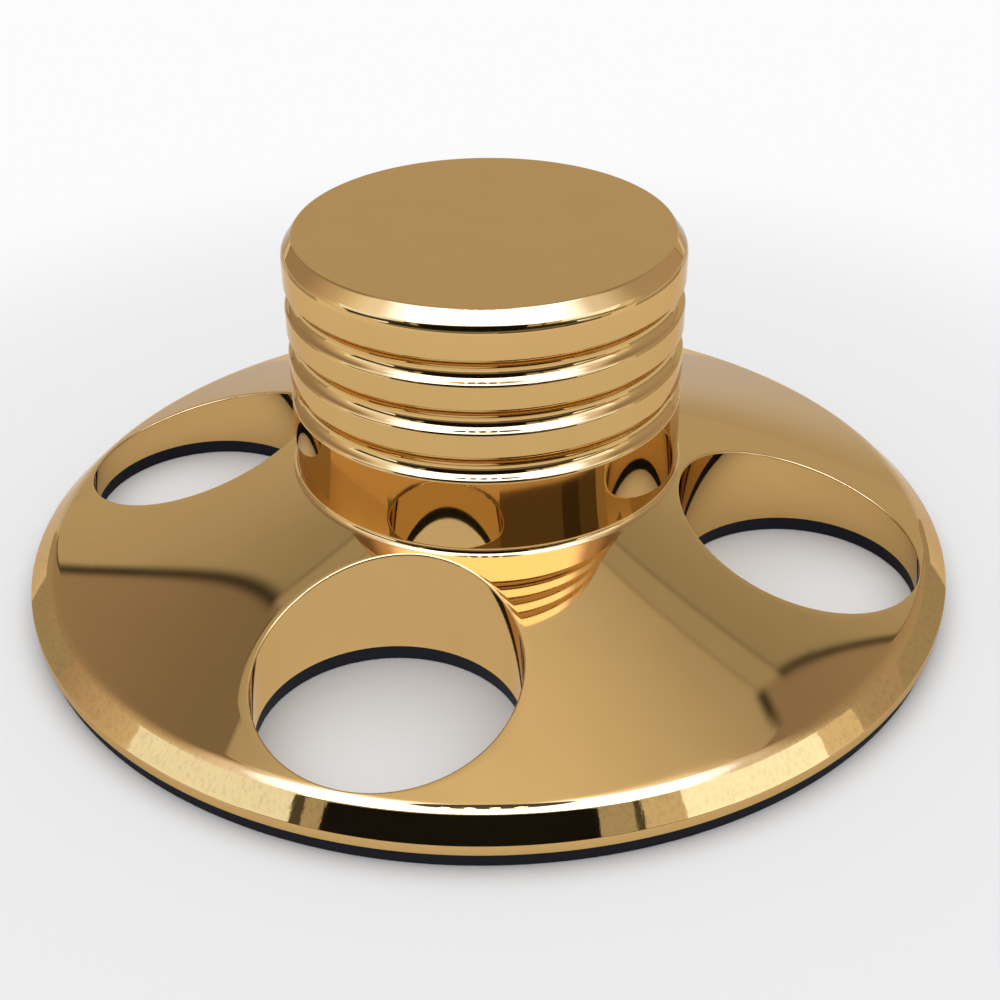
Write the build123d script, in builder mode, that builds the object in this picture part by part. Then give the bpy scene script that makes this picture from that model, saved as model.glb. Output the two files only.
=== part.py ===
# Record weight: a turned brass body with a grooved knob, a conical skirt with four through
# holes and a blind spindle bore, standing on a thin black pad.
# Millimetres, +Z up, origin at the middle of the pad's underside.
import os
from math import radians, tan

from build123d import *

# Pad under the body
pad_thickness = 1.65
pad_inset = 0.45
pad_hole_clearance = 0.1
pad_bore_clearance = 0.8

# Knob, from its foot to its top face
knob_diameter = 40.5
lower_band_height = 7.95
groove_count = 3
groove_width = 3.0
groove_depth = 0.85
groove_band_height = 2.1
top_band_height = 4.3
top_chamfer_width = 1.1
top_chamfer_height = 1.4
shoulder_round = 1.0

# Skirt, from the knob out to the rim
hole_count = 4
hole_diameter = 25.3
hole_inner_land = 0.8
hole_outer_land = 0.65
skirt_angle = 17.2
rim_chamfer_width = 2.3
rim_chamfer_height = 2.15
rim_edge_round = 2.5
rim_land_height = 1.1

# Blind bore for the turntable's spindle
spindle_diameter = 7.2
spindle_clearance = 0.1
bore_depth = 21.0
bore_lead_in = 0.6
drill_point_angle = 118.0

# Radii, from the axis outwards
knob_radius = knob_diameter / 2
bore_radius = spindle_diameter / 2 + spindle_clearance
hole_radius = hole_diameter / 2
hole_pitch_radius = knob_radius + hole_inner_land + hole_radius
rim_edge_radius = hole_pitch_radius + hole_radius + hole_outer_land
rim_radius = rim_edge_radius + rim_chamfer_width
pad_radius = rim_radius - pad_inset

# Heights, from the pad upwards
body_bottom = pad_thickness
rim_land_top = body_bottom + rim_land_height
rim_edge_height = rim_land_top + rim_chamfer_height
foot_height = rim_edge_height + (rim_edge_radius - knob_radius) * tan(radians(skirt_angle))
groove_pitch = groove_width + groove_band_height
first_groove_height = foot_height + lower_band_height + groove_width / 2
last_groove_height = first_groove_height + (groove_count - 1) * groove_pitch
top_height = last_groove_height + groove_width / 2 + top_band_height
bore_end = body_bottom + bore_depth
drill_point = bore_end + bore_radius / tan(radians(drill_point_angle / 2))

# A groove is cut by a round-nosed tool whose centre stands outside the knob
groove_tool_radius = ((groove_width / 2) ** 2 + groove_depth**2) / (2 * groove_depth)
groove_tool_centre = knob_radius - groove_depth + groove_tool_radius

# Corners of the turned section that are rounded
shoulder = (knob_radius, top_height - top_chamfer_height)
rim_edge = (rim_edge_radius, rim_edge_height)

os.makedirs("parts", exist_ok=True)

# Body: one turned section with its bore, then the skirt's holes
with BuildPart() as weight_body:
    with BuildSketch(Plane.XZ) as section:
        with BuildLine():
            Polyline(
                (0, top_height),
                (knob_radius - top_chamfer_width, top_height),
                shoulder,
                (knob_radius, foot_height),
                rim_edge,
                (rim_radius, rim_land_top),
                (rim_radius, body_bottom),
                (bore_radius + bore_lead_in, body_bottom),
                (bore_radius, body_bottom + bore_lead_in),
                (bore_radius, bore_end),
                (0, drill_point),
                close=True,
            )
        make_face()
        for corner, size in ((shoulder, shoulder_round), (rim_edge, rim_edge_round)):
            fillet(section.vertices().sort_by_distance(corner)[0], radius=size)
        for index in range(groove_count):
            with Locations((groove_tool_centre, first_groove_height + index * groove_pitch)):
                Circle(groove_tool_radius, mode=Mode.SUBTRACT)
    revolve(axis=Axis.Z)
    with BuildSketch(Plane.XY.offset(body_bottom)):
        with PolarLocations(hole_pitch_radius, hole_count):
            Circle(hole_radius)
    extrude(amount=foot_height, mode=Mode.SUBTRACT)
weight_body.part.label = "weight_body"
export_step(weight_body.part, "parts/weight_body.step")

# Pad: a die-cut sheet with the same holes, a little wider than the body's
with BuildPart() as record_pad:
    with BuildSketch():
        Circle(pad_radius)
        Circle(bore_radius + pad_bore_clearance, mode=Mode.SUBTRACT)
        with PolarLocations(hole_pitch_radius, hole_count):
            Circle(hole_radius + pad_hole_clearance, mode=Mode.SUBTRACT)
    extrude(amount=pad_thickness)
record_pad.part.label = "record_pad"
export_step(record_pad.part, "parts/record_pad.step")

print(f"rim diameter {2 * rim_radius:.2f}, height {top_height:.2f}, foot {foot_height:.2f}")
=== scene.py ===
from math import asin, atan2, cos, hypot, pi, radians, sin, sqrt, tan

import bmesh
import bpy
from bpy.props import FloatProperty, FloatVectorProperty, IntProperty, PointerProperty
from mathutils import Matrix, Vector


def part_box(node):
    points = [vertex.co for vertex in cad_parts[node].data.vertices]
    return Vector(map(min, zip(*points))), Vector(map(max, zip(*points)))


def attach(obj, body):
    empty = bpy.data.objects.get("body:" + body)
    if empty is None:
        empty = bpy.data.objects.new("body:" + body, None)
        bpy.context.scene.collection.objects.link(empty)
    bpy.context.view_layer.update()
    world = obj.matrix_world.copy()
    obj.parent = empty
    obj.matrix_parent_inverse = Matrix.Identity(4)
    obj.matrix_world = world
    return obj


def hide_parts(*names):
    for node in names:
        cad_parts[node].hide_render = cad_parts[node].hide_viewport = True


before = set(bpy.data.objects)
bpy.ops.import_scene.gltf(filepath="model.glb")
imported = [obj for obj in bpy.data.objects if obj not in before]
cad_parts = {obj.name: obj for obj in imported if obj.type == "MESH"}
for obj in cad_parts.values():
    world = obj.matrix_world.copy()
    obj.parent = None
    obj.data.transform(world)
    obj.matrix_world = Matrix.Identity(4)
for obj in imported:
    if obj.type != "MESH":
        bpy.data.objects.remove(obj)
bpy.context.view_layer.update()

bl_info = {
    "name": "Record Weight Dressing",
    "version": (1, 0, 0),
    "blender": (4, 5, 0),
    "location": "View3D > Sidebar > Record Weight",
    "description": "Builds the polished body and the pad of a turntable record weight, with its stage",
    "category": "Object",
}

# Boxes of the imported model, in metres
BODY_LOW, BODY_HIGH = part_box("weight_body")
PAD_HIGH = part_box("record_pad")[1]

ORIGIN = Vector((0, 0, 0))
UP = Vector((0, 0, 1))
WELD = 1e-6
SMOOTH_LIMIT = radians(40)
CRISP_LIMIT = radians(60)

# Cuts and steps of the skirt's mesh
SIDE_CUTS = 39
SPOKE_CUTS = 15
EDGE_STEPS = 5

# Noise levels where the marks on the gold start and where they are strongest
CHATTER_LEVELS = (0.45, 0.7)
HAZE_LEVELS = (0.4, 0.8)

# Soft limits in the studio, where a part of it starts and where it is complete: bearings from the
# front and elevations in degrees, and shares of a height, a distance or a strength
FRONT_SIDES = (88, 120)
BACK_SIDES = (80, 110)
RIGHT_HALF = (-0.1, 0.1)
BACK_WALL = (-0.004, 0.004)
WALL_FADE = (0.1, 0.9)
CEILING_EDGE = (0.99, 1.01)
CEILING_FADE = (50, 85)
CORNER_END = (-0.01, 0.03)
NOOK_WIDTH = (0.015, 0.05)
NOOK_HEIGHT = (0, 0.05)
BOX_WIDENING = (42, 68)
BOX_FOOT = (0, 14)
BOX_CAST = (0, 0.5)
LIGHT_RISE = (0.3, 0.9)

# Tint of a card in the light of a window
DAYLIGHT = (1, 1.22, 1.65)

# Share of an upright card's height where its colour starts to fade
FADE_START = 0.35


def length(name, description, default):
    """A size property in metres."""
    return FloatProperty(
        name=name, description=description, default=default, min=0, precision=5, unit="LENGTH"
    )


def colour(name, description, default):
    """A linear colour property."""
    return FloatVectorProperty(
        name=name, description=description, default=default, size=3, min=0, max=1, subtype="COLOR"
    )


def angle(name, description, default):
    """An angle property, given in degrees."""
    return FloatProperty(name=name, description=description, default=radians(default), subtype="ANGLE")


def degrees(name, description, default):
    """A bearing or an elevation in the studio, in plain degrees."""
    return FloatProperty(name=name, description=description, default=default, min=-180, max=180)


def tone(name, description, default):
    """A brightness, where 1 is white."""
    return FloatProperty(name=name, description=description, default=default, min=0)


def amount(name, description, default):
    """A share, a scale or a distance that has no unit."""
    return FloatProperty(name=name, description=description, default=default, min=0)


class BodySizes(bpy.types.PropertyGroup):
    """Sizes of the turned body."""

    rim_radius: length("Rim radius", "Outer radius of the skirt", BODY_HIGH.x)
    bottom: length("Underside", "Height of the body's underside above the record", BODY_LOW.z)
    top: length("Top", "Height of the knob's top face above the record", BODY_HIGH.z)
    knob_diameter: length("Knob diameter", "Diameter of the knob's bands", 0.0405)
    top_chamfer_width: length("Top chamfer width", "How far the top chamfer comes in", 0.0012)
    top_chamfer_height: length("Top chamfer height", "How far the top chamfer goes down", 0.0016)
    top_edge_round: length("Top edge", "Radius between the top face and its chamfer", 0.0004)
    shoulder_round: length("Shoulder round", "Radius under the top chamfer", 0.0015)
    top_band_height: length("Top band", "Height above the highest groove", 0.0045)
    groove_width: length("Groove width", "Height of each groove, over its rounded lips", 0.00294)
    groove_depth: length("Groove depth", "Depth of each groove", 0.00085)
    groove_band_height: length("Groove band", "Height between two grooves", 0.00216)
    groove_lip: length("Groove lip", "Radius buffed on the lips of each groove", 0.0005)
    groove_count: IntProperty(name="Grooves", description="Grooves round the knob", default=3, min=1)
    foot_round: length("Foot round", "Radius in the corner between knob and skirt", 0.0008)
    skirt_angle: angle("Skirt angle", "Slope of the skirt", 17.2)
    hole_count: IntProperty(name="Holes", description="Holes through the skirt", default=4, min=1)
    hole_diameter: length("Hole diameter", "Diameter of each hole", 0.0253)
    hole_inner_land: length("Inner land", "From the knob to a hole", 0.0008)
    hole_outer_land: length("Outer land", "From a hole to the rim's edge", 0.00065)
    hole_edge_round: length("Hole edge", "Broken edge round each hole", 0.0002)
    hole_rim_gap: length("Hole rim gap", "Strip kept between a hole's edge and the turned rim", 0.00008)
    rim_chamfer_height: length("Rim chamfer", "Height of the chamfer on the rim", 0.00215)
    rim_edge_round: length("Rim edge", "Radius between skirt and rim chamfer", 0.0030)
    rim_land_height: length("Rim land", "Height of the upright land below the chamfer", 0.0011)
    bore_radius: length("Bore radius", "Radius of the spindle bore", 0.0037)
    bore_depth: length("Bore depth", "Straight depth of the spindle bore", 0.021)
    bore_lead_in: length("Bore lead-in", "Chamfer at the mouth of the bore", 0.0006)
    drill_angle: angle("Drill angle", "Point angle of the drill that made the bore", 118)
    edge_break: length("Edge break", "Radius left by polishing on crisp edges", 0.0001)
    steps: IntProperty(name="Steps", description="Steps round the body", default=360, min=36)


class PadSizes(bpy.types.PropertyGroup):
    """Sizes of the pad under the body."""

    radius: length("Pad radius", "Outer radius of the pad", PAD_HIGH.x)
    thickness: length("Pad thickness", "Thickness of the sheet", PAD_HIGH.z)
    hole_clearance: length("Hole clearance", "How much wider its holes are than the body's", 0.0001)
    bore_clearance: length("Bore clearance", "How much wider its middle hole is than the bore", 0.0008)
    edge_round: length("Edge round", "Radius of the die-cut edges", 0.00015)
    steps: IntProperty(name="Steps", description="Steps round the pad", default=240, min=36)


class Finishes(bpy.types.PropertyGroup):
    """Colours and grain of the two materials."""

    gold: colour("Gold", "Colour of the polished metal", (0.68, 0.430, 0.162))
    gold_edge: colour("Gold edge", "Tint of the metal seen at a low angle", (0.86, 0.75, 0.62))
    pad: colour("Pad", "Colour of the pad", (0.004, 0.0045, 0.006))
    polish: amount("Polish", "Roughness of the clean metal", 0.02)
    haze_scale: amount("Haze scale", "How fine the polishing haze is", 180)
    haze_rough: amount("Haze roughness", "How much rougher the haze is", 0.03)
    haze_dull: amount("Haze depth", "How much the haze dulls the gold", 0.03)
    chatter_scale: amount("Chatter scale", "How fine the tool chatter on the rim is", 2900)
    chatter_stretch: amount("Chatter stretch", "Part of the scale that is kept across the chatter", 0.6)
    chatter_dull: amount("Chatter depth", "How much the chatter dulls the gold", 0.13)
    chatter_height: length("Chatter height", "Height of the chatter", 0.0000015)
    chatter_edge: length("Chatter edge", "How softly the chatter starts at the rim's edge", 0.0004)
    chatter_foot: length("Chatter foot", "How softly the chatter starts above the rim's land", 0.0003)
    pad_rough: amount("Pad roughness", "Roughness of the pad between its grain", 0.6)
    pad_shine: amount("Pad shine", "Strength of the pad's highlights", 0.2)
    grain_scale: amount("Grain scale", "How fine the pad's grain is", 6000)
    grain_height: length("Grain height", "Height of the pad's grain", 0.00005)
    grain_strength: amount("Grain strength", "How much of the grain's height shows", 0.4)
    grain_rough: amount("Grain roughness", "How much rougher the grain is", 0.2)


class StageSizes(bpy.types.PropertyGroup):
    """Camera and studio light."""

    lens: FloatProperty(name="Lens", description="Focal length", default=58.096, unit="CAMERA")
    camera_turn: angle("Camera turn", "Direction of the camera about the upright axis", 16.55)
    camera_reach: length("Camera reach", "Level distance from the axis to the camera", 0.14961)
    camera_height: length("Camera height", "Height of the camera above the record", 0.10088)
    camera_pitch: angle("Camera pitch", "How far the camera looks down", 32.25)
    camera_yaw: angle("Camera yaw", "How far the camera looks to the right of the axis", 0.42)
    camera_roll: angle("Camera roll", "How far the camera is tipped sideways", -0.86)
    camera_clip: length("Camera clip", "Nearest distance that the camera shows", 0.005)
    room_radius: length("Room radius", "Radius of the floor and of the studio's half dome", 2.0)
    floor_gap: length("Floor gap", "How far the floor lies below the pad", 2e-5)
    # Near the weight the floor has a darker colour than further out. This is painted shade round the
    # weight, and it fades out between the two distances below.
    shaded_floor_colour: colour("Floor", "Colour of the floor", (0.86, 0.86, 0.865))
    open_floor_colour: colour("Sweep", "Colour of the floor further out", (0.975, 0.975, 0.975))
    shade_fade_start: length("Sweep start", "Distance where the floor starts to get paler", 0.07)
    shade_fade_end: length("Sweep end", "Distance where the floor is palest", 0.13)
    light_low: tone("Low light", "Brightness of the light on the floor from the sides", 0.4)
    light_high: tone("High light", "Brightness of the light on the floor from overhead", 1.36)
    box_tone: tone("Soft box tone", "Brightness of the soft box in front and overhead", 3.2)
    box_tint: FloatVectorProperty(
        name="Soft box tint", description="Tint of the soft box", default=(1, 1.25, 2.2), size=3, min=0
    )
    box_edge: degrees("Soft box edge", "Bearing where the soft box starts to fade near the floor", 42)
    box_spread: degrees("Soft box spread", "How much wider the soft box is overhead", 38)
    box_fade: degrees("Soft box fade", "Bearing over which the soft box fades", 28)
    box_tail: amount("Soft box tail", "Part of the soft box's light that reaches further round", 0.22)
    left_wall: amount("Left wall", "Distance to the left wall, where the back wall is at 1", 0.733)
    right_wall: amount("Right wall", "Distance to the right wall, where the back wall is at 1", 0.904)
    ceiling: amount("Ceiling", "Height of the ceiling, where the back wall is at 1", 1.59)
    ceiling_lean: amount("Ceiling lean", "How much the ceiling leans to one side", 0.12)
    back_lean: amount("Back lean", "How much the back wall leans back", 0.115)
    cornice: amount("Cornice", "Part of the wall's height below the cornice", 0.88)
    cornice_blur: amount("Cornice blur", "How soft the lower edge of the cornice is", 0.008)
    side_tone: tone("Side tone", "Brightness of the side walls", 0.46)
    side_rise: amount("Side rise", "How much brighter the left wall is towards the front", 0.8)
    side_warmth: amount("Side warmth", "How much warmer the side walls are than the back wall", 0.1)
    right_rise: amount("Right rise", "How much brighter the right wall is", 0.25)
    back_tone: tone("Back tone", "Brightness of the back wall", 0.66)
    wall_fall: amount("Wall fall", "How much darker the walls are below the ceiling", 0.38)
    cornice_tone: tone("Cornice tone", "Brightness of the cornice", 0.48)
    ceiling_tone: tone("Ceiling tone", "Brightness of the ceiling at the walls", 0.50)
    ceiling_rise: tone("Ceiling rise", "How much brighter the ceiling is overhead", 0.5)
    seam_depth: amount("Seam depth", "How dark the room's corners are", 0.85)
    seam_width: amount("Seam width", "How wide the room's corners are", 0.02)
    right_narrowing: amount("Right narrowing", "How much narrower the corner on the right is", 0.5)
    brow_share: amount("Brow share", "Depth of the line under the ceiling, where a corner's is 1", 0.2)
    bead_share: amount("Bead share", "Depth of the line under the cornice, where a corner's is 1", 0.3)
    fitting_radius: degrees("Fitting radius", "Half the depth of the dark lamp fitting overhead", 7)
    fitting_shift: degrees("Fitting shift", "How far the fitting is in front of the weight", 6.5)
    fitting_width: amount("Fitting width", "Width of the fitting, where its depth is 1", 1.3484)
    fitting_blur: degrees("Fitting blur", "How soft the edge of the fitting is", 2)
    fitting_depth: amount("Fitting depth", "How much light the fitting takes away", 0.97)
    bounce_loss: amount("Bounce loss", "How much dimmer the studio is for light from a matt surface", 0.7)
    hole_tone: tone("Hole tone", "Brightness of the card that lights the front hole's wall", 0.78)
    bulb_count: IntProperty(name="Bulbs", description="Bulbs in front of the fitting", default=4, min=0)
    bulb_tone: tone("Bulb tone", "Brightness of each bulb", 30)
    bulb_radius: length("Bulb radius", "Radius of each bulb", 0.018)
    bulb_spacing: length("Bulb spacing", "Distance from one bulb to the next", 0.09)
    bulb_height: length("Bulb height", "Height of the bulbs above the floor", 1.5)
    bulb_front: length("Bulb front", "How far the bulbs are in front of the weight", 0.30)
    bulb_left: length("Bulb left", "How far the row of bulbs is to the left", 0.035)


def pick(geometry, kind):
    """The vertices, edges or faces among what an operator gives back."""
    return [item for item in geometry if isinstance(item, kind)]


def pour(source, target):
    """Moves all of one bmesh into another."""
    mesh = bpy.data.meshes.new("pour")
    source.to_mesh(mesh)
    source.free()
    target.from_mesh(mesh)
    bpy.data.meshes.remove(mesh)


class SectionPen:
    """Draws one half of a turned section in the XZ plane and spins it round the upright axis."""

    def __init__(self, start):
        self.bm = bmesh.new()
        self.tip = self.bm.verts.new((start[0], 0, start[1]))

    def here(self):
        return Vector((self.tip.co.x, self.tip.co.z))

    def line_to(self, point):
        """A straight run, left out where the pen is already there."""
        if (Vector(point) - self.here()).length < WELD:
            return
        self.tip = bmesh.ops.extrude_vert_indiv(self.bm, verts=[self.tip])["verts"][0]
        self.tip.co = (point[0], 0, point[1])

    def arc_about(self, centre, turn, steps):
        """An arc about a centre, where a turn over zero goes from +Z towards +X."""
        made = bmesh.ops.spin(
            self.bm,
            geom=[self.tip],
            cent=(centre[0], 0, centre[1]),
            axis=(0, 1, 0),
            angle=turn,
            steps=steps,
        )
        self.tip = pick(made["geom_last"], bmesh.types.BMVert)[0]

    def round_corner(self, corner, ahead, radius, steps):
        """A run to a corner, and round it on an arc of that radius towards the point ahead."""
        corner = Vector(corner)
        back = (self.here() - corner).normalized()
        onward = (Vector(ahead) - corner).normalized()
        half = back.angle(onward) / 2
        self.line_to(corner + back * (radius / tan(half)))
        centre = corner + (back + onward).normalized() * (radius / sin(half))
        side = back.x * onward.y - back.y * onward.x
        self.arc_about(centre, (pi - 2 * half) * (1 if side > 0 else -1), steps)

    def turn_into(self, body, steps):
        """Spins the section into a surface and adds it to the body."""
        drawn = list(self.bm.verts) + list(self.bm.edges)
        bmesh.ops.spin(
            self.bm, geom=drawn, cent=ORIGIN, axis=UP, angle=2 * pi, steps=steps, use_merge=True
        )
        pour(self.bm, body)


class BodyPlan:
    """Radii and heights of the body, worked out from its sizes."""

    def __init__(self, sizes):
        self.knob = sizes.knob_diameter / 2
        self.hole = sizes.hole_diameter / 2
        self.pitch = self.knob + sizes.hole_inner_land + self.hole
        self.land_top = sizes.bottom + sizes.rim_land_height
        self.edge = Vector((
            self.pitch + self.hole + sizes.hole_outer_land,
            self.land_top + sizes.rim_chamfer_height,
        ))
        self.slope = tan(sizes.skirt_angle)
        self.chamfer_angle = atan2(sizes.rim_chamfer_height, sizes.rim_radius - self.edge.x)
        self.roll = sizes.rim_edge_round
        reach = self.roll * tan((self.chamfer_angle - sizes.skirt_angle) / 2)
        self.roll_start = self.edge.x - reach * cos(sizes.skirt_angle)
        self.roll_centre = Vector((
            self.roll_start - self.roll * sin(sizes.skirt_angle),
            self.edge.y + reach * sin(sizes.skirt_angle) - self.roll * cos(sizes.skirt_angle),
        ))
        hole_reach = self.pitch + self.hole + sizes.hole_edge_round
        self.skirt_end = max(self.roll_start, hole_reach + sizes.hole_rim_gap)
        self.foot = Vector((self.knob, self.skirt_height(self.knob)))
        self.shoulder = Vector((self.knob, sizes.top - sizes.top_chamfer_height))
        half, depth, lip = sizes.groove_width / 2, sizes.groove_depth, sizes.groove_lip
        self.groove_radius = (half**2 / depth + depth) / 2 - lip
        self.groove_centre = self.knob - depth + self.groove_radius
        self.groove_tilt = asin(half / (self.groove_radius + lip))
        self.groove_pitch = sizes.groove_width + sizes.groove_band_height
        self.top_groove = sizes.top - sizes.top_band_height - sizes.groove_width / 2

    def skirt_height(self, radius):
        """Height of the skirt, which rolls over towards its rim."""
        if radius <= self.roll_start:
            return self.edge.y + (self.edge.x - radius) * self.slope
        return self.roll_centre.y + sqrt(self.roll**2 - (radius - self.roll_centre.x) ** 2)


def draw_knob(body, sizes, plan):
    """Top face, chamfer, grooved wall and foot. Returns the radius where the skirt starts."""
    pen = SectionPen((0, sizes.top))
    top_edge = (plan.knob - sizes.top_chamfer_width, sizes.top)
    pen.round_corner(top_edge, plan.shoulder, sizes.top_edge_round, steps=8)
    pen.round_corner(plan.shoulder, plan.foot, sizes.shoulder_round, steps=10)
    half = sizes.groove_width / 2
    lip = plan.knob - sizes.groove_lip
    for index in range(sizes.groove_count):
        middle = plan.top_groove - index * plan.groove_pitch
        pen.line_to((plan.knob, middle + half))
        pen.arc_about((lip, middle + half), plan.groove_tilt, steps=8)
        pen.arc_about((plan.groove_centre, middle), -2 * plan.groove_tilt, steps=24)
        pen.arc_about((lip, middle - half), plan.groove_tilt, steps=8)
    pen.round_corner(plan.foot, plan.edge, sizes.foot_round, steps=14)
    start = pen.tip.co.x
    pen.turn_into(body, sizes.steps)
    return start


def draw_rim(body, sizes, plan):
    """Rolled edge, chamfer and land, from where the skirt ends."""
    land_top = Vector((sizes.rim_radius, plan.land_top))
    land_bottom = Vector((sizes.rim_radius, sizes.bottom))
    pen = SectionPen((plan.skirt_end, plan.skirt_height(plan.skirt_end)))
    lean = asin((plan.skirt_end - plan.roll_centre.x) / plan.roll)
    pen.arc_about(plan.roll_centre, plan.chamfer_angle - lean, steps=12)
    pen.round_corner(land_top, land_bottom, sizes.edge_break, steps=3)
    pen.round_corner(land_bottom, (0, sizes.bottom), sizes.edge_break, steps=3)
    pen.turn_into(body, sizes.steps)


def draw_bore(body, sizes):
    """Lead-in, wall and drill point of the blind spindle bore."""
    pen = SectionPen((sizes.bore_radius + sizes.bore_lead_in, sizes.bottom))
    pen.line_to((sizes.bore_radius, sizes.bottom + sizes.bore_lead_in))
    end = sizes.bottom + sizes.bore_depth
    pen.line_to((sizes.bore_radius, end))
    pen.line_to((0, end + sizes.bore_radius / tan(sizes.drill_angle / 2)))
    pen.turn_into(body, sizes.steps)


def share_border(bm, start, end, height, share, steps, cuts=0):
    """The closed outline of one hole's share of a ring, in level edges."""
    known = set(bm.edges)
    arcs = []
    for radius in (start, end):
        first = bm.verts.new((radius * cos(share / 2), -radius * sin(share / 2), height))
        swept = bmesh.ops.spin(bm, geom=[first], cent=ORIGIN, axis=UP, angle=share, steps=steps)
        arcs.append((first, pick(swept["geom_last"], bmesh.types.BMVert)[0]))
    sides = [bm.edges.new(ends) for ends in zip(*arcs)]
    if cuts:
        bmesh.ops.subdivide_edges(bm, edges=sides, cuts=cuts)
    return [e for e in bm.edges if e not in known]


def draw_skirt(body, sizes, plan, start):
    """The skirt, its holes and the underside: one hole's share of them, copied round the axis."""
    share = 2 * pi / sizes.hole_count
    steps = sizes.steps // sizes.hole_count
    centre = Vector((plan.pitch, 0, 0))
    bm = bmesh.new()
    border = share_border(bm, start, plan.skirt_end, 0, share, steps, cuts=SIDE_CUTS)
    loop = extrude_hole_loop(bm, border, centre, plan.hole + sizes.hole_edge_round)
    space_evenly(loop, centre)
    spokes = [e for e in bm.edges if len(e.link_faces) == 2]
    bmesh.ops.subdivide_edges(bm, edges=spokes, cuts=SPOKE_CUTS, use_grid_fill=True)
    for vert in bm.verts:
        vert.co.z = plan.skirt_height(hypot(vert.co.x, vert.co.y))

    for index in range(1, EDGE_STEPS + 1):
        lean = pi / 2 * index / EDGE_STEPS
        radius = plan.hole + sizes.hole_edge_round * (1 - sin(lean))
        loop = extrude_hole_loop(bm, loop, centre, radius)
        for vert in {v for e in loop for v in e.verts}:
            drop = sizes.hole_edge_round * (1 - cos(lean))
            vert.co.z = plan.skirt_height(hypot(vert.co.x, vert.co.y)) - drop
    loop = extrude_hole_loop(bm, loop, centre, plan.hole)
    for vert in {v for e in loop for v in e.verts}:
        vert.co.z = sizes.bottom

    bore_mouth = sizes.bore_radius + sizes.bore_lead_in
    land_foot = sizes.rim_radius - sizes.edge_break
    underside = share_border(bm, bore_mouth, land_foot, sizes.bottom, share, steps)
    bmesh.ops.triangle_fill(bm, edges=underside + loop, use_beauty=True, normal=-UP)

    others = sizes.hole_count - 1
    bmesh.ops.spin(
        bm,
        geom=list(bm.faces),
        cent=ORIGIN,
        axis=UP,
        angle=share * others,
        steps=others,
        use_duplicate=True,
    )
    pour(bm, body)


def extrude_hole_loop(bm, loop, centre, radius):
    """Extrudes an edge loop round a hole and sets the new loop to a radius about the hole's centre."""
    made = bmesh.ops.extrude_edge_only(bm, edges=list(loop))["geom"]
    ring = set(pick(made, bmesh.types.BMVert))
    for vert in ring:
        across = Vector((vert.co.x - centre.x, vert.co.y - centre.y)).normalized() * radius
        vert.co.x = centre.x + across.x
        vert.co.y = centre.y + across.y
    return [e for e in pick(made, bmesh.types.BMEdge) if ring.issuperset(e.verts)]


def space_evenly(loop, centre):
    """Spaces the vertices of a loop evenly about its centre, at the radius they have."""
    bearings = {}
    for vert in {v for e in loop for v in e.verts}:
        bearings[vert] = (atan2(vert.co.y - centre.y, vert.co.x - centre.x) + WELD) % (2 * pi)
    for index, vert in enumerate(sorted(bearings, key=bearings.get)):
        radius = hypot(vert.co.x - centre.x, vert.co.y - centre.y)
        bearing = 2 * pi * index / len(bearings)
        vert.co.x = centre.x + radius * cos(bearing)
        vert.co.y = centre.y + radius * sin(bearing)


def finish_piece(bm, name, material, node):
    """Closes a bmesh, makes it an object that replaces its CAD node and gives it its finish."""
    bmesh.ops.remove_doubles(bm, verts=bm.verts, dist=WELD)
    bmesh.ops.recalc_face_normals(bm, faces=bm.faces)
    if any(not e.is_manifold for e in bm.edges):
        raise RuntimeError(f"{name} has an open edge")
    for face in bm.faces:
        face.smooth = True
    for edge in bm.edges:
        edge.smooth = edge.calc_face_angle() < SMOOTH_LIMIT
    mesh = bpy.data.meshes.new(name)
    bm.to_mesh(mesh)
    bm.free()
    piece = bpy.data.objects.new(name, mesh)
    bpy.context.scene.collection.objects.link(piece)
    mesh.materials.append(material)
    weighted = piece.modifiers.new("Weighted normals", "WEIGHTED_NORMAL")
    weighted.keep_sharp = True
    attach(piece, "root")
    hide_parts(node)
    return piece


class Value:
    """A shader socket that adds a Math node when it is used in an expression."""

    def __init__(self, nodes, socket):
        self.nodes = nodes
        self.socket = socket

    def math(self, operation, *operands):
        node = self.nodes.add("ShaderNodeMath", {"operation": operation}, dict(enumerate(operands)))
        return Value(self.nodes, node.outputs[0])

    def __add__(self, other):
        return self.math("ADD", self, other)

    def __radd__(self, other):
        return self.math("ADD", other, self)

    def __sub__(self, other):
        return self.math("SUBTRACT", self, other)

    def __rsub__(self, other):
        return self.math("SUBTRACT", other, self)

    def __mul__(self, other):
        return self.math("MULTIPLY", self, other)

    def __rmul__(self, other):
        return self.math("MULTIPLY", other, self)

    def __truediv__(self, other):
        return self.math("DIVIDE", self, other)

    def __rtruediv__(self, other):
        return self.math("DIVIDE", other, self)

    def step(self, low, high):
        """Rises smoothly from 0 to 1 between two values."""
        return self.nodes.value(
            "ShaderNodeMapRange",
            "Result",
            {"interpolation_type": "SMOOTHSTEP"},
            {"Value": self, "From Min": low, "From Max": high},
        )


class Nodes:
    """A node tree that adds nodes by type, settings and sockets."""

    def __init__(self, owner):
        owner.use_nodes = True
        self.tree = owner.node_tree
        self.tree.nodes.clear()

    def add(self, kind, settings=None, sockets=None):
        node = self.tree.nodes.new(kind)
        for key, setting in (settings or {}).items():
            setattr(node, key, setting)
        for key, given in (sockets or {}).items():
            if isinstance(given, Value):
                given = given.socket
            if isinstance(given, bpy.types.NodeSocket):
                self.tree.links.new(given, node.inputs[key])
            else:
                node.inputs[key].default_value = given
        return node

    def value(self, kind, output, settings=None, sockets=None):
        """One output of a new node, ready for expressions."""
        return Value(self, self.add(kind, settings, sockets).outputs[output])


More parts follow.
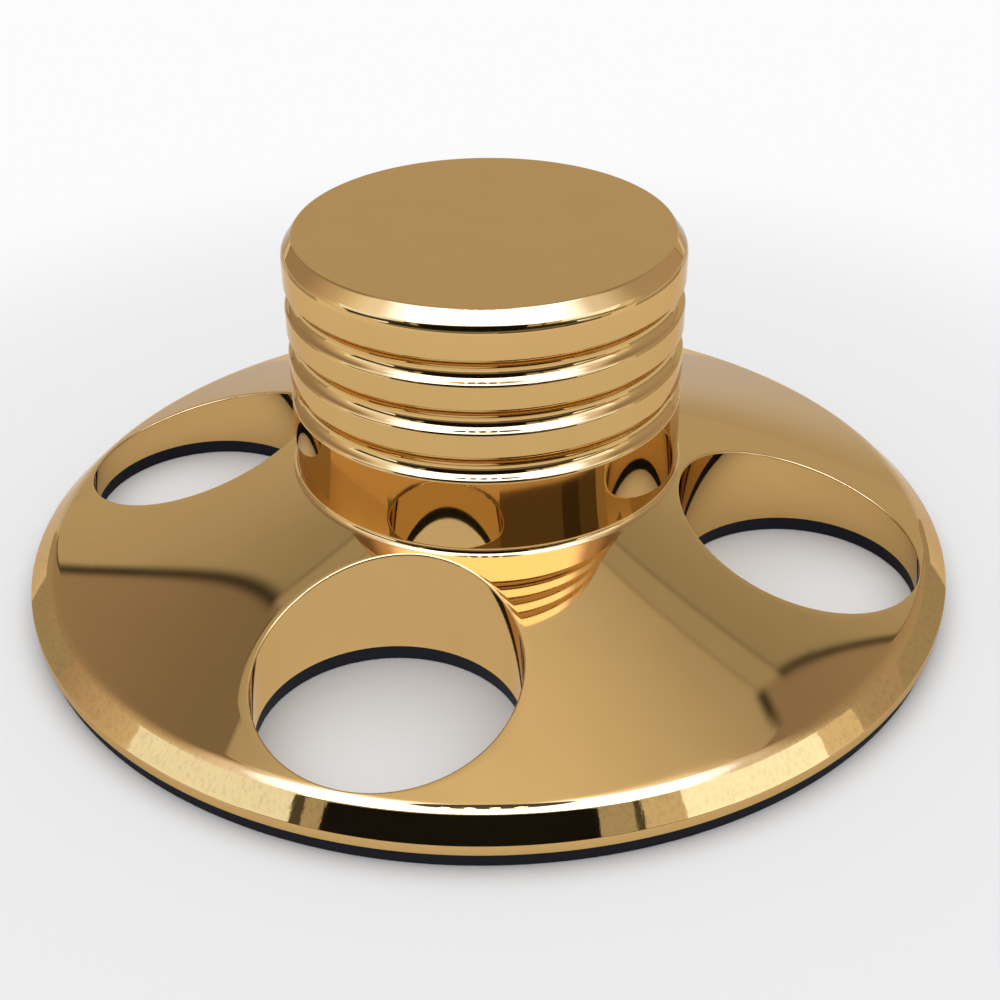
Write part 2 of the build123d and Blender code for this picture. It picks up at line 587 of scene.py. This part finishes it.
def gold_finish(finishes, plan):
    """Mirror-polished gold with a trace of polishing haze, and tool chatter on the rim's chamfer."""
    material = bpy.data.materials.new("polished_gold")
    nodes = Nodes(material)
    place = nodes.add("ShaderNodeTexCoord").outputs["Object"]
    haze = nodes.value(
        "ShaderNodeTexNoise",
        "Fac",
        None,
        {"Vector": place, "Scale": finishes.haze_scale, "Detail": 4.0},
    )
    split = nodes.add("ShaderNodeSeparateXYZ", None, {0: place})
    across, along, height = (Value(nodes, split.outputs[key]) for key in "XYZ")
    radius = across.math("SQRT", across * across + along * along)
    round_rim = across.math("ARCTAN2", across, 0 - along) * plan.edge.x
    outward, upward = (reach * finishes.chatter_stretch for reach in (radius, height))
    grain = nodes.add("ShaderNodeCombineXYZ", None, {0: round_rim, 1: outward, 2: upward})
    chatter = nodes.value(
        "ShaderNodeTexNoise",
        "Fac",
        None,
        {"Vector": grain.outputs[0], "Scale": finishes.chatter_scale, "Detail": 3.0},
    )
    below_edge = radius.step(plan.edge.x - finishes.chatter_edge, plan.edge.x + finishes.chatter_edge)
    above_land = height.step(plan.land_top, plan.land_top + finishes.chatter_foot)
    on_rim = below_edge * above_land
    dull = chatter.step(*CHATTER_LEVELS) * on_rim * finishes.chatter_dull
    dull = dull + haze.step(*HAZE_LEVELS) * finishes.haze_dull
    metal = nodes.add(
        "ShaderNodeMix",
        {"data_type": "RGBA"},
        {"Factor": dull, "A": (*finishes.gold, 1), "B": (0, 0, 0, 1)},
    )
    bump = nodes.add(
        "ShaderNodeBump",
        None,
        {"Strength": 1.0, "Distance": finishes.chatter_height, "Height": chatter * on_rim},
    )
    surface = nodes.add(
        "ShaderNodeBsdfPrincipled",
        None,
        {
            "Base Color": metal.outputs[2],
            "Metallic": 1.0,
            "Roughness": finishes.polish + haze * finishes.haze_rough,
            "Specular Tint": (*finishes.gold_edge, 1),
            "Normal": bump.outputs[0],
        },
    )
    nodes.add("ShaderNodeOutputMaterial", None, {"Surface": surface.outputs[0]})
    return material


def pad_finish(finishes):
    """Matt black rubber sheet with a fine grain."""
    material = bpy.data.materials.new("black_pad")
    nodes = Nodes(material)
    place = nodes.add("ShaderNodeTexCoord").outputs["Object"]
    grain = nodes.value(
        "ShaderNodeTexNoise",
        "Fac",
        None,
        {"Vector": place, "Scale": finishes.grain_scale, "Detail": 3.0},
    )
    bump = nodes.add(
        "ShaderNodeBump",
        None,
        {"Strength": finishes.grain_strength, "Distance": finishes.grain_height, "Height": grain},
    )
    surface = nodes.add(
        "ShaderNodeBsdfPrincipled",
        None,
        {
            "Base Color": (*finishes.pad, 1),
            "Roughness": finishes.pad_rough + grain * finishes.grain_rough,
            "Specular IOR Level": finishes.pad_shine,
            "Normal": bump.outputs[0],
        },
    )
    nodes.add("ShaderNodeOutputMaterial", None, {"Surface": surface.outputs[0]})
    return material


class RECORDWEIGHT_OT_turn_body(bpy.types.Operator):
    """Turn the polished body with its grooves, holes and bore"""

    bl_idname = "record_weight.turn_body"
    bl_label = "Turn Body"

    def execute(self, context):
        sizes = context.scene.record_weight_body
        plan = BodyPlan(sizes)
        bm = bmesh.new()
        start = draw_knob(bm, sizes, plan)
        draw_rim(bm, sizes, plan)
        draw_bore(bm, sizes)
        draw_skirt(bm, sizes, plan, start)
        finish = gold_finish(context.scene.record_weight_finishes, plan)
        finish_piece(bm, "polished_body", finish, "weight_body")
        return {"FINISHED"}


class RECORDWEIGHT_OT_cut_pad(bpy.types.Operator):
    """Cut the pad from sheet, with the body's holes"""

    bl_idname = "record_weight.cut_pad"
    bl_label = "Cut Pad"

    def execute(self, context):
        sizes = context.scene.record_weight_pad
        body = context.scene.record_weight_body
        plan = BodyPlan(body)
        bm = bmesh.new()
        bmesh.ops.create_circle(bm, segments=sizes.steps, radius=sizes.radius)
        bore = body.bore_radius + sizes.bore_clearance
        bmesh.ops.create_circle(bm, segments=sizes.steps // 4, radius=bore)
        for index in range(body.hole_count):
            turn = Matrix.Rotation(2 * pi * index / body.hole_count, 4, UP)
            place = turn @ Matrix.Translation((plan.pitch, 0, 0))
            bmesh.ops.create_circle(
                bm, segments=sizes.steps // 2, radius=plan.hole + sizes.hole_clearance, matrix=place
            )
        bmesh.ops.triangle_fill(bm, edges=bm.edges, use_beauty=True, normal=UP)
        made = bmesh.ops.extrude_face_region(bm, geom=list(bm.faces))["geom"]
        raised = pick(made, bmesh.types.BMVert)
        bmesh.ops.translate(bm, verts=raised, vec=UP * sizes.thickness)
        bmesh.ops.recalc_face_normals(bm, faces=bm.faces)
        crisp = [e for e in bm.edges if e.calc_face_angle(0) > CRISP_LIMIT]
        bmesh.ops.bevel(
            bm,
            geom=crisp,
            offset=sizes.edge_round,
            affect="EDGES",
            segments=2,
            profile=0.5,
            material=-1,
        )
        finish = pad_finish(context.scene.record_weight_finishes)
        finish_piece(bm, "cut_pad", finish, "record_pad")
        return {"FINISHED"}


def grey(level):
    """The colour of a card without a tint."""
    return (level, level, level)


def daylight(level):
    """The colour of a card in the cool light of a window."""
    return tuple(level * part for part in DAYLIGHT)


def glow(name, shade):
    """A material that shines with one colour all over."""
    material = bpy.data.materials.new(name)
    nodes = Nodes(material)
    shine = nodes.add("ShaderNodeEmission", None, {"Color": (*shade, 1)})
    nodes.add("ShaderNodeOutputMaterial", None, {"Surface": shine.outputs[0]})
    return material


def fading_glow(name, low, high, height):
    """A material whose colour fades from the foot of an upright card to its top."""
    material = bpy.data.materials.new(name)
    nodes = Nodes(material)
    place = nodes.add("ShaderNodeTexCoord").outputs["Object"]
    split = nodes.add("ShaderNodeSeparateXYZ", None, {0: place})
    rise = Value(nodes, split.outputs["Z"]).step(height * FADE_START, height)
    shade = nodes.add(
        "ShaderNodeMix", {"data_type": "RGBA"}, {"Factor": rise, "A": (*low, 1), "B": (*high, 1)}
    )
    shine = nodes.add("ShaderNodeEmission", None, {"Color": shade.outputs[2]})
    nodes.add("ShaderNodeOutputMaterial", None, {"Surface": shine.outputs[0]})
    return material


class StudioView:
    """Where a direction in the studio leads, in values for its shader."""

    def __init__(self, nodes, stage):
        place = nodes.add("ShaderNodeTexCoord").outputs["Object"]
        way = nodes.add("ShaderNodeVectorMath", {"operation": "NORMALIZE"}, {0: place}).outputs[0]
        split = nodes.add("ShaderNodeSeparateXYZ", None, {0: way})
        across, along, up = (Value(nodes, split.outputs[key]) for key in "XYZ")
        self.across, self.along, self.up = across, along, up
        self.rise = up.math("ARCSINE", up) * (180 / pi)
        bearing = across.math("ARCTAN2", across, 0 - along) * (180 / pi)
        self.side = bearing.math("ABSOLUTE", bearing)
        self.right = across.step(*RIGHT_HALF)

        beside = across.math("MAXIMUM", across / stage.right_wall, across / -stage.left_wall)
        beyond = along + up * stage.back_lean
        nearest = beside.math("MAXIMUM", beside, beyond)
        self.level = up / (nearest * stage.ceiling) * (1 - across * stage.ceiling_lean)
        self.behind = (beyond - beside).step(*BACK_WALL)
        self.overhead = self.level.step(*CEILING_EDGE)
        self.from_corner = beyond.math("ABSOLUTE", beyond - beside)
        self.from_ceiling = self.level.math("ABSOLUTE", self.level - 1)
        self.from_cornice = self.level.math("ABSOLUTE", self.level - stage.cornice)


def room_tone(stage, view):
    """Brightness of the walls, the cornice and the ceiling."""
    wall = stage.side_tone + (stage.back_tone - stage.side_tone) * view.behind
    wall = wall * (1 - stage.wall_fall * view.level.step(*WALL_FADE))
    forward = (1 - view.side.step(*FRONT_SIDES)) * (1 - view.right)
    wall = wall * (1 + stage.side_rise * forward)
    wall = wall * (1 + stage.right_rise * view.right * (1 - view.behind))
    trim = view.level.step(stage.cornice - stage.cornice_blur, stage.cornice + stage.cornice_blur)
    wall = wall + (stage.cornice_tone - wall) * trim * view.behind
    ceiling = stage.ceiling_tone + stage.ceiling_rise * view.rise.step(*CEILING_FADE)
    return wall + (ceiling - wall) * view.overhead


def seam_shade(stage, view):
    """How strong the dark lines are where the walls, the cornice and the ceiling meet."""
    corner = 1 - view.from_corner.step(0, stage.seam_width * (1 - stage.right_narrowing * view.right))
    above_corner = (view.level - stage.cornice).step(*CORNER_END)
    shade = corner * (1 - above_corner)
    brow = 1 - view.from_ceiling.step(0, stage.seam_width)
    bead = 1 - view.from_cornice.step(0, stage.seam_width)
    nook = (1 - view.from_corner.step(*NOOK_WIDTH)) * (1 - view.from_ceiling.step(*NOOK_HEIGHT))
    for line in (brow * stage.brow_share, nook * (1 - view.behind), bead * view.behind * stage.bead_share):
        shade = shade.math("MAXIMUM", shade, line)
    return shade


def soft_box(stage, view):
    """How much of the soft box shows, which is wider overhead and has a faint tail."""
    edge = stage.box_edge + stage.box_spread * view.rise.step(*BOX_WIDENING)
    core = 1 - view.side.step(edge, edge + stage.box_fade)
    tail = 1 - view.side.step(edge + stage.box_fade, edge + stage.box_fade * 2)
    return (core * (1 - stage.box_tail) + tail * stage.box_tail) * view.rise.step(*BOX_FOOT)


def lamp_fitting(stage, view):
    """How much of the dark lamp fitting overhead shows, which is wider than it is deep."""
    across = view.across / stage.fitting_width
    ahead = view.along + view.up * tan(radians(stage.fitting_shift))
    spread = across.math("SQRT", across * across + ahead * ahead) / view.up
    inner, outer = (tan(radians(stage.fitting_radius + blur)) for blur in (0, stage.fitting_blur))
    return 1 - spread.step(inner, outer)


def room_glow(stage):
    """The studio seen by the metal: a wide soft box in front and overhead, and a grey room behind."""
    material = bpy.data.materials.new("studio_room")
    nodes = Nodes(material)
    view = StudioView(nodes, stage)
    room = room_tone(stage, view) * (1 - stage.seam_depth * seam_shade(stage, view))
    box = soft_box(stage, view)
    light = room + (stage.box_tone - room) * box
    light = light * (1 - stage.fitting_depth * lamp_fitting(stage, view))
    bounces = nodes.value("ShaderNodeLightPath", "Diffuse Depth")
    light = light * (1 - stage.bounce_loss * bounces.step(0, 1))
    sides = (1 - view.behind) * (1 - view.overhead) * view.side.step(*BACK_SIDES)
    warm = 1 - stage.side_warmth * sides
    cast = box.step(*BOX_CAST)
    green, blue = (light * warm * (1 + (part - 1) * cast) for part in stage.box_tint[1:])
    tint = nodes.add("ShaderNodeCombineColor", None, {0: light, 1: green, 2: blue})
    shine = nodes.add("ShaderNodeEmission", None, {"Color": tint.outputs[0]})
    nodes.add("ShaderNodeOutputMaterial", None, {"Surface": shine.outputs[0]})
    return material


def stage_object(name, bm, material, place=Matrix()):
    """A mesh that belongs to the stage."""
    mesh = bpy.data.meshes.new(name)
    bm.to_mesh(mesh)
    bm.free()
    mesh.materials.append(material)
    card = bpy.data.objects.new(name, mesh)
    card.matrix_world = place
    bpy.context.scene.collection.objects.link(card)
    return card


def metal_card(name, bm, material, place=Matrix()):
    """A stage mesh left to reflections: it neither lights nor hides anything else."""
    card = stage_object(name, bm, material, place)
    card.visible_camera = False
    card.visible_diffuse = False
    card.visible_shadow = False


def towards_camera(stage):
    """The turn about the upright axis from the weight's front to the camera's side."""
    return Matrix.Rotation(stage.camera_turn, 4, UP)


def camera_place(stage):
    """The camera's matrix: it stands in front, looks down at the weight, and is tipped a little."""
    stand = Matrix.Translation((0, -stage.camera_reach, stage.camera_height))
    pitch = Matrix.Rotation(pi / 2 - stage.camera_pitch, 4, "X")
    yaw = Matrix.Rotation(-stage.camera_yaw, 4, "Y")
    roll = Matrix.Rotation(stage.camera_roll, 4, "Z")
    return towards_camera(stage) @ stand @ pitch @ yaw @ roll


def lay_floor(stage):
    """A floor under the pad, with painted shade that darkens it near the weight and fades to a paler
    colour further out.
    """
    bm = bmesh.new()
    place = Matrix.Translation(-UP * stage.floor_gap)
    bmesh.ops.create_circle(bm, segments=96, radius=stage.room_radius, cap_ends=True, matrix=place)
    material = bpy.data.materials.new("pale_floor")
    nodes = Nodes(material)
    spot = nodes.add("ShaderNodeTexCoord").outputs["Object"]
    away = nodes.value("ShaderNodeVectorMath", "Value", {"operation": "LENGTH"}, {0: spot})
    # Painted shade: the floor's colour is darker near the weight and fades to the open floor's colour
    # further out
    shade_falloff = away.step(stage.shade_fade_start, stage.shade_fade_end)
    floor_with_shade = nodes.add(
        "ShaderNodeMix",
        {"data_type": "RGBA"},
        {"Factor": shade_falloff, "A": (*stage.shaded_floor_colour, 1), "B": (*stage.open_floor_colour, 1)},
    )
    paper = nodes.add("ShaderNodeBsdfDiffuse", None, {"Color": floor_with_shade.outputs[2]})
    nodes.add("ShaderNodeOutputMaterial", None, {"Surface": paper.outputs[0]})
    stage_object("floor", bm, material)


def raise_room(stage):
    """The half dome that carries the studio's light."""
    bm = bmesh.new()
    bmesh.ops.create_uvsphere(bm, u_segments=96, v_segments=48, radius=stage.room_radius)
    ball = list(bm.verts) + list(bm.edges) + list(bm.faces)
    bmesh.ops.bisect_plane(bm, geom=ball, plane_co=ORIGIN, plane_no=UP, clear_inner=True)
    metal_card("studio_room", bm, room_glow(stage), towards_camera(stage))


def hang_flag(name, stage, corners, depth, rounding, shade):
    """A card in the camera's plane, seen only in the metal; a greater depth is nearer to the weight."""
    bm = bmesh.new()
    bm.faces.new([bm.verts.new((*corner, -depth)) for corner in corners])
    if rounding:
        bmesh.ops.bevel(
            bm,
            geom=list(bm.verts),
            offset=rounding,
            affect="VERTICES",
            segments=6,
            profile=0.5,
            material=-1,
        )
    metal_card(name, bm, glow(name, shade), camera_place(stage))


def stand_card(name, stage, start, end, height, low, high):
    """An upright card on the floor, seen only in the metal."""
    bm = bmesh.new()
    feet = [bm.verts.new((*foot, 0)) for foot in (start, end)]
    foot_edge = bm.edges.new(feet)
    raised = bmesh.ops.extrude_edge_only(bm, edges=[foot_edge])["geom"]
    bmesh.ops.translate(bm, verts=pick(raised, bmesh.types.BMVert), vec=UP * height)
    metal_card(name, bm, fading_glow(name, low, high, height), towards_camera(stage))


def lay_card(name, centre, radius, shade):
    """A round card on the floor inside one of the holes, seen only in the metal."""
    bm = bmesh.new()
    place = Matrix.Translation(centre)
    bmesh.ops.create_circle(bm, segments=64, radius=radius, cap_ends=True, matrix=place)
    metal_card(name, bm, glow(name, shade))


def hang_bulbs(stage):
    """A row of small bulbs overhead, a little in front of the weight."""
    bm = bmesh.new()
    for index in range(stage.bulb_count):
        across = stage.bulb_spacing * (index - (stage.bulb_count - 1) / 2) - stage.bulb_left
        place = Matrix.Translation((across, -stage.bulb_front, stage.bulb_height))
        bmesh.ops.create_uvsphere(
            bm, u_segments=12, v_segments=8, radius=stage.bulb_radius, matrix=place
        )
    metal_card("bulbs", bm, glow("bulbs", grey(stage.bulb_tone)), towards_camera(stage))


def light_world(scene, stage):
    """White for what looks straight at it, and the studio's even light for the rest."""
    world = bpy.data.worlds.new("studio")
    nodes = Nodes(world)
    path = nodes.add("ShaderNodeLightPath")
    rays = ("Camera", "Glossy", "Transmission")
    looks = [Value(nodes, path.outputs[f"Is {kind} Ray"]) for kind in rays]
    seen = looks[0].math("MAXIMUM", looks[0].math("MAXIMUM", looks[0], looks[1]), looks[2])
    way = nodes.add("ShaderNodeTexCoord").outputs["Generated"]
    split = nodes.add("ShaderNodeSeparateXYZ", None, {0: way})
    high = Value(nodes, split.outputs["Z"]).step(*LIGHT_RISE)
    level = stage.light_low + (stage.light_high - stage.light_low) * high
    even = nodes.add("ShaderNodeBackground", None, {"Color": (1, 1, 1, 1), "Strength": level})
    white = nodes.add("ShaderNodeBackground", None, {"Color": (1, 1, 1, 1)})
    both = nodes.add("ShaderNodeMixShader", None, {0: seen, 1: even.outputs[0], 2: white.outputs[0]})
    nodes.add("ShaderNodeOutputWorld", None, {"Surface": both.outputs[0]})
    scene.world = world


def stand_camera(scene, stage):
    """The camera at the photograph's viewing angle."""
    lens = bpy.data.cameras.new("camera")
    lens.lens = stage.lens
    lens.clip_start = stage.camera_clip
    camera = bpy.data.objects.new("camera", lens)
    scene.collection.objects.link(camera)
    camera.matrix_world = camera_place(stage)
    scene.camera = camera
    scene.view_settings.view_transform = "Standard"


# Cards in the camera's plane: corners across and up from the lens, depth, rounding and colour
FLAGS = {
    "camera_flag": (
        ((-0.100, -0.045), (0.057, -0.045), (0.057, 0.036), (-0.100, 0.036)),
        0.003,
        0.014,
        grey(0.008),
    ),
    "grip_flag": (
        ((-0.115, -0.02), (0.080, -0.02), (0.080, 0.038), (-0.115, 0.042)),
        0.002,
        0.012,
        grey(0.55),
    ),
    "edge_flag": (
        ((-0.126, -0.02), (0.086, -0.02), (0.086, 0.040), (-0.126, 0.048)),
        0.001,
        0.013,
        grey(0.1),
    ),
    "left_flag": (
        ((-0.6, 0.11), (-0.26, 0.036), (-0.118, 0.028), (-0.118, 0.06), (-0.26, 0.105), (-0.6, 0.25)),
        0.0005,
        0.0,
        daylight(1.25),
    ),
    "left_low_flag": (
        ((-0.6, -0.03), (-0.118, -0.03), (-0.118, 0.028), (-0.26, 0.036), (-0.6, 0.11)),
        0.0005,
        0.0,
        grey(0.08),
    ),
    "right_flag": (
        ((0.08, 0.008), (0.118, 0.01), (0.118, 0.05), (0.08, 0.045)),
        0.0005,
        0.0,
        grey(0.85),
    ),
    "window_flag": (
        ((0.118, 0.01), (0.4, 0.03), (0.4, 0.165), (0.118, 0.05)),
        0.0004,
        0.0,
        daylight(1.6),
    ),
    "far_flag": (
        ((0.4, 0.03), (0.8, 0.05), (0.8, 0.33), (0.4, 0.165)),
        0.0004,
        0.0,
        grey(1.0),
    ),
    "right_low_flag": (
        ((0.08, -0.03), (0.8, -0.03), (0.8, 0.05), (0.4, 0.03), (0.118, 0.01), (0.08, 0.008)),
        0.0005,
        0.0,
        grey(0.3),
    ),
    "stand_flag": (
        (
            (-0.215, -0.06),
            (0.205, -0.06),
            (0.17, -0.022),
            (0.1, -0.004),
            (-0.14, -0.004),
            (-0.185, -0.022),
        ),
        0.0025,
        0.01,
        grey(0.03),
    ),
    "foot_flag": (
        ((-0.32, -0.118), (0.32, -0.118), (0.205, -0.058), (-0.215, -0.058)),
        0.0,
        0.0,
        grey(0.28),
    ),
}

# Upright cards on the floor: feet, height, and colours at the foot and at the top
COOL = (0.75, 0.84, 1.12)
CARDS = {
    "near_card": ((0.02, -0.19), (0.122, -0.146), 0.03, grey(0.16), grey(0.16)),
    "next_card": ((0.122, -0.146), (0.145, -0.123), 0.03, grey(0.07), grey(0.07)),
    "third_card": ((0.145, -0.123), (0.165, -0.094), 0.03, grey(0.14), grey(0.14)),
    "last_card": ((0.165, -0.094), (0.174, -0.076), 0.03, grey(0.5), grey(0.5)),
    "back_right_card": ((0.1295, -0.02), (0.1065, 0.0746), 0.03, grey(0.48), grey(0.48)),
    "back_turn_card": ((0.1065, 0.0746), (0.055, 0.118), 0.03, COOL, grey(0.62)),
    "back_card": ((0.055, 0.118), (-0.055, 0.118), 0.03, COOL, grey(0.62)),
    "left_turn_card": ((-0.055, 0.118), (-0.1065, 0.0746), 0.03, COOL, grey(0.62)),
    "back_left_card": ((-0.1065, 0.0746), (-0.13, 0.011), 0.03, grey(0.48), grey(0.48)),
}


class RECORDWEIGHT_OT_set_stage(bpy.types.Operator):
    """Set the floor, the light and the camera"""

    bl_idname = "record_weight.set_stage"
    bl_label = "Set Stage"

    def execute(self, context):
        stage = context.scene.record_weight_stage
        lay_floor(stage)
        raise_room(stage)
        hang_bulbs(stage)
        for name, (corners, depth, rounding, shade) in FLAGS.items():
            hang_flag(name, stage, corners, depth, rounding, shade)
        for name, (start, end, height, low, high) in CARDS.items():
            stand_card(name, stage, start, end, height, low, high)
        plan = BodyPlan(context.scene.record_weight_body)
        lay_card("hole_card", (0, -plan.pitch, 0), plan.hole, grey(stage.hole_tone))
        light_world(context.scene, stage)
        stand_camera(context.scene, stage)
        return {"FINISHED"}


class RECORDWEIGHT_PT_sidebar(bpy.types.Panel):
    """Lists the record weight's operators and sizes"""

    bl_idname = "RECORDWEIGHT_PT_sidebar"
    bl_label = "Record Weight"
    bl_space_type = "VIEW_3D"
    bl_region_type = "UI"
    bl_category = "Record Weight"

    def draw(self, context):
        for operator in OPERATORS:
            self.layout.operator(operator.bl_idname)
        for group in (getattr(context.scene, name) for name in GROUPS):
            column = self.layout.column(heading=group.bl_rna.name)
            for key in group.__annotations__:
                column.prop(group, key)


OPERATORS = (RECORDWEIGHT_OT_turn_body, RECORDWEIGHT_OT_cut_pad, RECORDWEIGHT_OT_set_stage)
GROUPS = {
    "record_weight_body": BodySizes,
    "record_weight_pad": PadSizes,
    "record_weight_finishes": Finishes,
    "record_weight_stage": StageSizes,
}


def register():
    for group in GROUPS.values():
        bpy.utils.register_class(group)
    for name, group in GROUPS.items():
        setattr(bpy.types.Scene, name, PointerProperty(type=group))
    for shown in (*OPERATORS, RECORDWEIGHT_PT_sidebar):
        bpy.utils.register_class(shown)


def unregister():
    for shown in (RECORDWEIGHT_PT_sidebar, *reversed(OPERATORS)):
        bpy.utils.unregister_class(shown)
    for name in GROUPS:
        delattr(bpy.types.Scene, name)
    for group in reversed(GROUPS.values()):
        bpy.utils.unregister_class(group)


def main():
    register()
    bpy.ops.record_weight.turn_body()
    bpy.ops.record_weight.cut_pad()
    bpy.ops.record_weight.set_stage()


if __name__ == "__main__":
    main()
